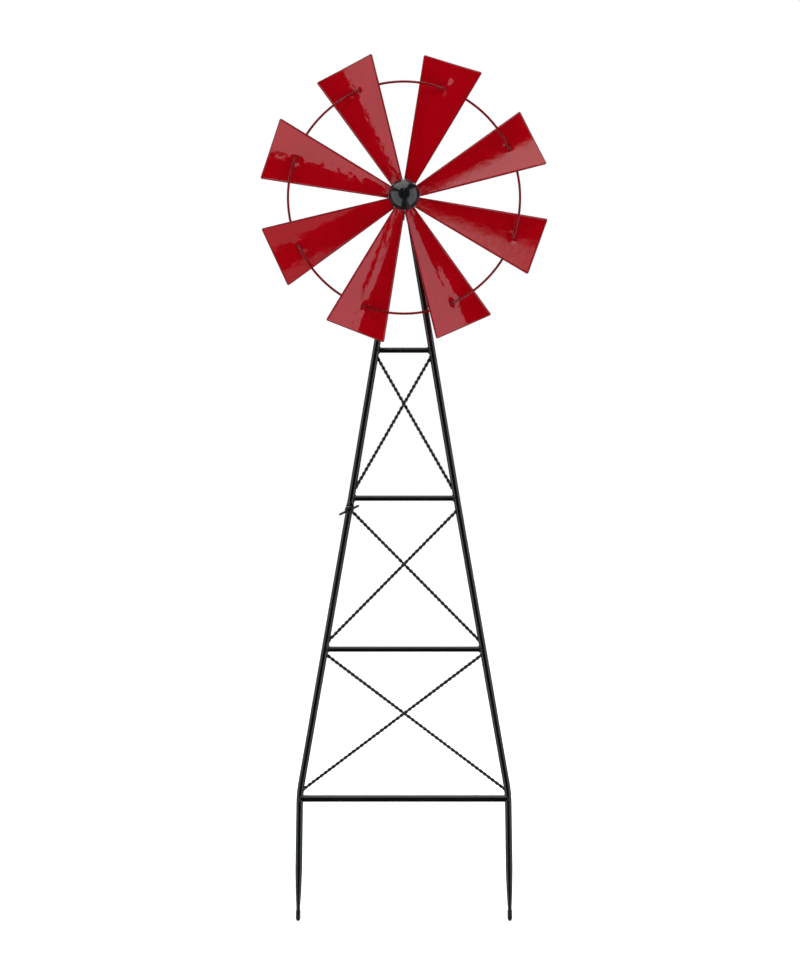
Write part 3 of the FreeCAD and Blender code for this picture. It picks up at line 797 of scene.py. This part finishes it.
def blade_faces(width):
    """Faces of both grids and of the narrow walls between their borders."""
    faces = []
    back = (BLADE_ROWS + 1) * width
    for row in range(BLADE_ROWS):
        for k in range(width - 1):
            a = row * width + k
            b = a + width
            faces.append((a, a + 1, b + 1, b))
            faces.append((back + a, back + b, back + b + 1, back + a + 1))
    for row in range(BLADE_ROWS):
        for k, flip in ((0, False), (width - 1, True)):
            a = row * width + k
            b = a + width
            quad = (a, b, back + b, back + a)
            faces.append(quad[::-1] if flip else quad)
    for k in range(width - 1):
        for row, flip in ((0, True), (BLADE_ROWS, False)):
            a = row * width + k
            quad = (a, a + 1, back + a + 1, back + a)
            faces.append(quad[::-1] if flip else quad)
    return faces


def make_blade(index):
    """Sheared sheet with a rolled edge all round, bowed, waved and dimpled."""
    stations = blade_columns()
    verts, edge = blade_points(index, stations)
    faces = blade_faces(len(stations))
    name, node = f"sheet_blade_{index + 1}", f"blade_{index + 1}"
    piece = new_piece(name, "rotor", "red_paint", verts, faces, (node,), look="red_sheet")
    layer = piece.data.attributes.new(EDGE_ATTRIBUTE, "FLOAT", "POINT")
    layer.data.foreach_set("value", edge)
    merge_doubles(piece.data)
    return piece


def merge_doubles(mesh):
    """Joins points that lie together, such as both grids of a sheet at its rolled edge."""
    work = bmesh.new()
    work.from_mesh(mesh)
    bmesh.ops.remove_doubles(work, verts=work.verts, dist=MERGE_DISTANCE)
    bmesh.ops.recalc_face_normals(work, faces=work.faces)
    work.to_mesh(mesh)
    work.free()
    mesh.shade_smooth()


def soft_least(a, b, blend):
    """Smaller of two lengths, rounded where they cross."""
    return 0.5 * (a + b - math.sqrt((a - b) ** 2 + blend ** 2))


def rim_depth(index, across, way):
    """Depth of a rim wire's middle line where it lies on a blade's front (-1) or back (1)."""
    x = across / math.cos(BLADE_PITCH)
    clear = (RIM_WIRE_R + BLADE_THICKNESS / 2) / math.cos(BLADE_PITCH)
    sheet = -across * math.tan(BLADE_PITCH) + blade_bow(index, x, RIM_R) / math.cos(BLADE_PITCH)
    return way * -soft_least(0.0, -way * (sheet + way * clear), RIM_BLEND)


def rim_points(index, following):
    """Middle line of the wire that joins a blade to the one following it clockwise."""
    step = 2 * math.pi / BLADE_COUNT
    start = -RIM_BACK_END / RIM_R
    end = step + BLADE_SHAPES[following].wire_end * MM / RIM_R
    points = []
    for i in range(RIM_STEPS + 1):
        turn = start + (end - start) * i / RIM_STEPS
        across, out = RIM_R * math.sin(turn), RIM_R * math.cos(turn)
        if turn < step / 2:
            depth = rim_depth(index, across, 1)
        else:
            depth = rim_depth(following, RIM_R * math.sin(turn - step), -1)
        points.append(wheel_place(index, across, depth, out))
    return points


def make_rim(index, welds):
    """Wire from the back of one blade to the front of the next one clockwise."""
    following = (index + 1) % BLADE_COUNT
    points = rim_points(index, following)
    radii = [RIM_WIRE_R] * len(points)
    for k, share in enumerate(RIM_TIP_SHARES):
        radii[k] *= share
        radii[-1 - k] *= share
    name, node = f"rim_wire_{index + 1}", f"rim_arc_{index + 1}"
    verts, faces = sweep(points, radii, RIM_SIDES)
    # the wire takes the darker enamel, which is painted shade
    piece = new_piece(name, "rotor", "red_paint", verts, faces, (node,), look="red_wire_painted_shade")
    add_rim_weld(index, points[0], points[RIM_WELD_REACH], 1, welds)
    add_rim_weld(following, points[-1], points[-1 - RIM_WELD_REACH], -1, welds)
    return piece


def add_rim_weld(blade, tip, inner, way, welds):
    """A flat blob on one end of a rim wire, with a few spatters beside it."""
    along = (tip - inner).normalized()
    normal = blade_place(blade, 0, way, 0) - blade_place(blade, 0, 0, 0)
    across = along.cross(normal)
    centre = tip - along * RIM_WELD_BACK - normal * RIM_WIRE_R * RIM_WELD_SUNK
    axes = (along * RIM_WELD[0], across * RIM_WELD[1], normal * RIM_WELD[2])
    welds.add(*blob(centre, axes, blade * 2.1 + way))
    for k in range(SPATTER_COUNT):
        seed = Vector((blade * 3.3 + k * 1.9, way * 2.0, 0.5))
        spread_along, spread_across = SPATTER_SPREAD
        shift = along * spread_along * noise.noise(seed)
        shift += across * spread_across * noise.noise(seed + UP * 9.0)
        size = SPATTER_R + SPATTER_R_CHANGE * noise.noise(seed * 2.0)
        side = -1 if k % 2 else 1
        spot = centre + shift + across * side * SPATTER_AWAY - normal * SPATTER_SUNK
        axes = (along * size, across * size, normal * size * SPATTER_FLATNESS)
        welds.add(*blob(spot, axes, blade + k, detail=2))


def make_hub_welds():
    """A bead on each side of every blade's root, along the hub."""
    welds = Builder()
    for index in range(BLADE_COUNT):
        for way in (-1, 1):
            points = []
            for i in range(HUB_WELD_STEPS + 1):
                x = (-1 + 2 * i / HUB_WELD_STEPS) * BLADE_ROOT_HALF * HUB_WELD_SHARE
                out = math.sqrt(HUB_R ** 2 - (x * math.cos(BLADE_PITCH)) ** 2) + HUB_WELD_LIFT
                points.append(blade_place(index, x, way * HUB_WELD_SIDE, out))
            welds.add(*bead(points, HUB_WELD_R, index * 1.3 + way))
    return welds.piece("welds_hub", "rotor", "red_paint")


def make_wheel():
    """All blades, the wires between them and their welds."""
    rim_welds = Builder()
    for index in range(BLADE_COUNT):
        make_blade(index)
        make_rim(index, rim_welds)
    rim_welds.piece("welds_rim", "rotor", "red_paint", look="red_wire_painted_shade")
    make_hub_welds()


# ---------------- nuts
BALL_RINGS = 96
BALL_STEPS = 128
BALL_SHARP_ANGLE = math.radians(35)
COLLAR_STEPS = 64
WING_STATIONS = 30
WING_SIDES = 24
WING_SQUARENESS = 0.8           # below 1, a wing's section is fuller than an ellipse
WING_FLARE_REACH = 0.5          # share of a wing's length over which its root is thicker
WING_EDGE_SHARE = 0.35          # a lobe thins towards this share of its thickness
WING_EDGE_ROUNDING = 6.0        # how late it then closes to a point
WING_SHARP_ANGLE = math.radians(40)


def make_ball():
    """Turned ball with a flat seat, a countersink and its blind hole."""
    low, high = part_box("ball_nut")
    seat_y = high.y
    centre_y = low.y + BALL_R
    profile = [(0.0, low.y)]
    widest = math.pi - math.asin(BALL_SEAT_R / BALL_R)
    for i in range(1, BALL_RINGS + 1):
        polar = widest * i / BALL_RINGS
        profile.append((BALL_R * math.sin(polar), centre_y - BALL_R * math.cos(polar)))
    profile.append((BALL_HOLE_R + BALL_HOLE_CHAMFER, seat_y))
    profile.append((BALL_HOLE_R, seat_y - BALL_HOLE_CHAMFER))
    profile.append((BALL_HOLE_R, seat_y - BALL_HOLE_DEPTH))
    profile.append((0.0, seat_y - BALL_HOLE_DEPTH))
    verts, faces = lathe(profile, Vector((0, 0, AXLE_Z)), BALL_STEPS)
    ball = new_piece("black_ball", "ball_nut", "ball_gloss", verts, faces, ("ball_nut",))
    ball.data.set_sharp_from_angle(angle=BALL_SHARP_ANGLE)
    return ball


def nut_place(seat, across, aside, height):
    """Point of the wing nut's own frame: across its wings, through them, off its seat."""
    turn = WING_REST_ANGLE
    x = across * math.cos(turn) - aside * math.sin(turn)
    z = across * math.sin(turn) + aside * math.cos(turn)
    return seat + Vector((x, -height, z))


def rounded(value, half):
    """Sine or cosine of a wing's section, made fuller, times half its size."""
    return math.copysign(abs(value) ** WING_SQUARENESS, value) * half


def wing_section(u):
    """Middle point, rising direction, half height and half thickness of a wing at u."""
    root, bend, tip = WING_LINE
    inner = min(u, 1.0)
    point = root * (1 - inner) ** 2 + bend * 2 * inner * (1 - inner) + tip * inner ** 2
    along = ((bend - root) * (1 - inner) + (tip - bend) * inner).normalized()
    past = max(u - 1.0, 0.0) * (tip - bend).length
    lobe = math.sqrt(max(WING_TIP_R ** 2 - past ** 2, 0.0)) / WING_TIP_R
    half_height = (WING_ROOT_HALF + (WING_TIP_R - WING_ROOT_HALF) * inner ** 2) * lobe
    flare = WING_ROOT_FLARE * max(1 - inner / WING_FLARE_REACH, 0.0) ** 2
    thinned = WING_EDGE_SHARE + (1 - WING_EDGE_SHARE) * lobe
    half_thick = (WING_THICKNESS / 2 + flare) * thinned * min(lobe * WING_EDGE_ROUNDING, 1.0)
    return point + along * past, Vector((-along.y, along.x)), half_height, half_thick


def cast_wing(seat, side):
    """One wing: a curved, flattened horn with a round lobe at its end."""
    _, bend, tip = WING_LINE
    reach = 1.0 + WING_TIP_R / (tip - bend).length
    verts = []
    for i in range(WING_STATIONS + 1):
        u = reach * math.sin(math.pi / 2 * i / WING_STATIONS)
        point, rise, half_height, half_thick = wing_section(u)
        for k in range(WING_SIDES):
            angle = 2 * math.pi * k / WING_SIDES
            flat = point + rise * rounded(math.cos(angle), half_height)
            verts.append(nut_place(seat, side * flat.x, rounded(math.sin(angle), half_thick), flat.y))
    faces = []
    for i in range(WING_STATIONS):
        for k in range(WING_SIDES):
            n = (k + 1) % WING_SIDES
            a = i * WING_SIDES
            b = a + WING_SIDES
            faces.append((a + k, a + n, b + n, b + k))
    faces.append(tuple(range(WING_SIDES)))
    faces.append(tuple(range(WING_STATIONS * WING_SIDES, (WING_STATIONS + 1) * WING_SIDES)))
    return verts, faces


def make_wing_nut():
    """Cast nut: a tapered, round-edged collar with two wings grown into it."""
    low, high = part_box("wing_nut")
    middle = (low + high) / 2
    seat = Vector((middle.x, high.y, middle.z))
    profile = [(radius * MM, seat.y - height * MM) for radius, height in WING_COLLAR]
    nut = Builder()
    nut.add(*lathe(profile, Vector((seat.x, 0, seat.z)), COLLAR_STEPS))
    for side in (-1, 1):
        nut.add(*cast_wing(seat, side))
    piece = nut.piece("cast_wing_nut", "wing_nut", "black_hardware", ("wing_nut",))
    merge_doubles(piece.data)
    piece.data.set_sharp_from_angle(angle=WING_SHARP_ANGLE)
    return piece


# ---------------- stage
class Sky:
    """Small helper that builds the world's nodes: soft boxes round a dark room."""

    def __init__(self, tree, axis):
        self.tree = tree
        self.direction = tree.nodes.new("ShaderNodeTexCoord").outputs["Generated"]
        right = Vector((1, 0, 0))
        across = self.dot(right)
        above = self.dot(right.cross(axis).normalized() * -1)
        self.off_axis = self.math("ARCCOSINE", self.dot(axis))
        length = self.math("SQRT", self.math("ADD", self.math("MULTIPLY", across, across),
                                             self.math("MULTIPLY", above, above)))
        self.across = self.math("DIVIDE", across, length)
        self.above = self.math("DIVIDE", above, length)

    def math(self, kind, a, b=None):
        """Output of a Math node on numbers or other outputs."""
        node = self.tree.nodes.new("ShaderNodeMath")
        node.operation = kind
        for socket, value in zip(node.inputs, (a, b)):
            if value is None:
                continue
            if isinstance(value, (int, float)):
                socket.default_value = value
            else:
                self.tree.links.new(value, socket)
        return node.outputs[0]

    def dot(self, vector):
        """How far the ray's direction lies along a vector."""
        node = self.tree.nodes.new("ShaderNodeVectorMath")
        node.operation = "DOT_PRODUCT"
        self.tree.links.new(self.direction, node.inputs[0])
        node.inputs[1].default_value = vector
        return node.outputs["Value"]

    def step(self, value, low, high):
        """0 below low, 1 above high, smooth between."""
        node = self.tree.nodes.new("ShaderNodeMapRange")
        node.interpolation_type = "SMOOTHSTEP"
        node.inputs["From Min"].default_value = low
        node.inputs["From Max"].default_value = high
        self.tree.links.new(value, node.inputs["Value"])
        return node.outputs["Result"]

    def zone(self, near, far, soft):
        """1 between two angles off the axis, in degrees."""
        inside = self.step(self.off_axis, math.radians(near), math.radians(near + soft))
        outside = self.step(self.off_axis, math.radians(far), math.radians(far + 3 * soft))
        return self.math("MULTIPLY", inside, self.math("SUBTRACT", 1.0, outside))

    def sector(self, clock, half, soft):
        """1 within half degrees of a clock angle, counted from the top."""
        turn = math.radians(clock)
        facing = self.math("ADD", self.math("MULTIPLY", self.across, math.sin(turn)),
                           self.math("MULTIPLY", self.above, math.cos(turn)))
        return self.step(facing, math.cos(math.radians(half + soft)), math.cos(math.radians(half)))

    def tinted(self, amount, colour):
        """Colour scaled by an output."""
        node = self.tree.nodes.new("ShaderNodeVectorMath")
        node.operation = "SCALE"
        node.inputs[0].default_value = colour
        self.tree.links.new(amount, node.inputs["Scale"])
        return node.outputs[0]

    def total(self, colours):
        """Sum of several colours."""
        result = colours[0]
        for colour in colours[1:]:
            node = self.tree.nodes.new("ShaderNodeVectorMath")
            node.operation = "ADD"
            self.tree.links.new(result, node.inputs[0])
            self.tree.links.new(colour, node.inputs[1])
            result = node.outputs[0]
        return result


WHITE = (1.0, 1.0, 1.0)
# a soft box: clock angle, half width and its edge's softness, inner and outer angle off the
# front axis and their softness, all in degrees, then its brightness and tint
SoftBox = namedtuple("SoftBox", "clock half side_soft near far soft power tint")
SOFT_BOXES = (
    SoftBox(-14.0, 32.0, 9.0, 43.0, 104.0, 3.0, 2.2, WHITE),
    SoftBox(0.0, 4.0, 4.0, 23.0, 44.0, 2.5, 1.5, WHITE),
    SoftBox(0.0, 30.0, 12.0, 106.0, 150.0, 4.0, 1.0, WHITE),
    SoftBox(242.5, 45.5, 2.0, 43.5, 106.0, 0.5, 1.45, (0.95, 0.99, 1.03)),
    SoftBox(101.0, 45.0, 5.0, 43.5, 106.0, 0.6, 1.5, (0.91, 0.98, 1.07)),
    SoftBox(152.0, 9.0, 3.0, 45.2, 100.0, 0.8, 0.5, (0.93, 0.99, 1.05)),
    SoftBox(0.0, 62.0, 12.0, 152.0, 170.0, 6.0, 0.8, WHITE),
    SoftBox(180.0, 100.0, 12.0, 146.0, 172.0, 8.0, 0.35, WHITE),
)
FRONT_GLOW = 0.02
REAR_GLOW = 0.03
REAR_GLOW_ANGLES = (100, 135)   # off the front axis: where it starts and where it is full
BACKDROP = (1.0, 1.0, 1.0, 1.0)

FLOOR_R = 60.0
FLOOR_DROP = 0.3 * MM           # the floor lies this far under the stakes' tips
FLOOR_STEPS = 96
FLOOR_GLOW = 0.24
CAMERA_DISTANCE = 5.0
CAMERA_X = -7.0 * MM
CAMERA_SENSOR = 36.0
VIEW_HEIGHT = 1.7176            # metres of the object's plane in the picture's height


def make_world(tilt):
    """Soft boxes for lighting and reflections, and a plain white backdrop for the camera."""
    world = bpy.data.worlds.new("studio")
    bpy.context.scene.world = world
    world.use_nodes = True
    tree = world.node_tree
    tree.nodes.clear()
    axis = Vector((0, -math.cos(tilt), math.sin(tilt)))
    sky = Sky(tree, axis)
    colours = []
    for box in SOFT_BOXES:
        zone = sky.zone(box.near, box.far, box.soft)
        shape = sky.math("MULTIPLY", zone, sky.sector(box.clock, box.half, box.side_soft))
        colours.append(sky.tinted(sky.math("MULTIPLY", shape, box.power), box.tint))
    start, full = (math.radians(angle) for angle in REAR_GLOW_ANGLES)
    rear = sky.math("MULTIPLY", sky.step(sky.off_axis, start, full), REAR_GLOW)
    colours.append(sky.tinted(sky.math("ADD", rear, FRONT_GLOW), WHITE))
    lit = tree.nodes.new("ShaderNodeBackground")
    tree.links.new(sky.total(colours), lit.inputs["Color"])
    seen = tree.nodes.new("ShaderNodeBackground")
    seen.inputs["Color"].default_value = BACKDROP
    rays = tree.nodes.new("ShaderNodeLightPath")
    mix = tree.nodes.new("ShaderNodeMixShader")
    tree.links.new(rays.outputs["Is Camera Ray"], mix.inputs["Fac"])
    tree.links.new(lit.outputs[0], mix.inputs[1])
    tree.links.new(seen.outputs[0], mix.inputs[2])
    output = tree.nodes.new("ShaderNodeOutputWorld")
    tree.links.new(mix.outputs[0], output.inputs["Surface"])


def make_floor():
    """Large pale disc under the stakes' tips."""
    z = cad_low.z - FLOOR_DROP
    rim = []
    for k in range(FLOOR_STEPS):
        turn = 2 * math.pi * k / FLOOR_STEPS
        rim.append((FLOOR_R * math.cos(turn), FLOOR_R * math.sin(turn), z))
    mesh = bpy.data.meshes.new("floor")
    mesh.from_pydata(rim, [], [tuple(range(FLOOR_STEPS))])
    floor = bpy.data.objects.new("floor", mesh)
    bpy.context.scene.collection.objects.link(floor)
    material, tree, shader = new_material("pale_floor", (0.86, 0.86, 0.86), 0.9)
    socket_value(shader, "Specular IOR Level", 0.0)
    grain = noise_node(tree, scale=3.0)
    colour = colour_mix(tree, grain, (0.85, 0.85, 0.85), (0.87, 0.87, 0.87))
    tree.links.new(colour, shader.inputs["Base Color"])
    socket_value(shader, "Emission Color", (1, 1, 1, 1))
    socket_value(shader, "Emission Strength", FLOOR_GLOW)
    mesh.materials.append(material)
    floor.visible_glossy = False


def make_light(name, place, target, size, power):
    """Large soft light that adds body colour but no highlight of its own."""
    data = bpy.data.lights.new(name, "AREA")
    data.shape = "DISK"
    data.size = size
    data.energy = power
    light = bpy.data.objects.new(name, data)
    light.location = place
    light.rotation_mode = "QUATERNION"
    light.rotation_quaternion = (Vector(target) - Vector(place)).to_track_quat("-Z", "Y")
    light.visible_glossy = False
    light.visible_camera = False
    bpy.context.scene.collection.objects.link(light)


def make_camera():
    """Level front view from the height of the object's middle; returns the axle's elevation."""
    middle = (cad_low + cad_high) / 2
    data = bpy.data.cameras.new("camera")
    data.sensor_width = CAMERA_SENSOR
    data.lens = data.sensor_width * CAMERA_DISTANCE / VIEW_HEIGHT
    camera = bpy.data.objects.new("camera", data)
    camera.location = (CAMERA_X, -CAMERA_DISTANCE, middle.z)
    camera.rotation_euler = (math.pi / 2, 0, 0)
    bpy.context.scene.collection.objects.link(camera)
    bpy.context.scene.camera = camera
    return math.atan2(AXLE_Z - middle.z, CAMERA_DISTANCE)


# ---------------- build
dress_cad_nodes()
make_braces()
make_bar_welds()
make_apex_welds()
make_wheel()
make_ball()
make_wing_nut()
make_floor()
make_world(make_camera())
make_light("back_light", place=(1.6, 4.0, 2.6), target=(0, 0, 0.8), size=3.0, power=110.0)
bpy.context.scene.view_settings.view_transform = "Standard"
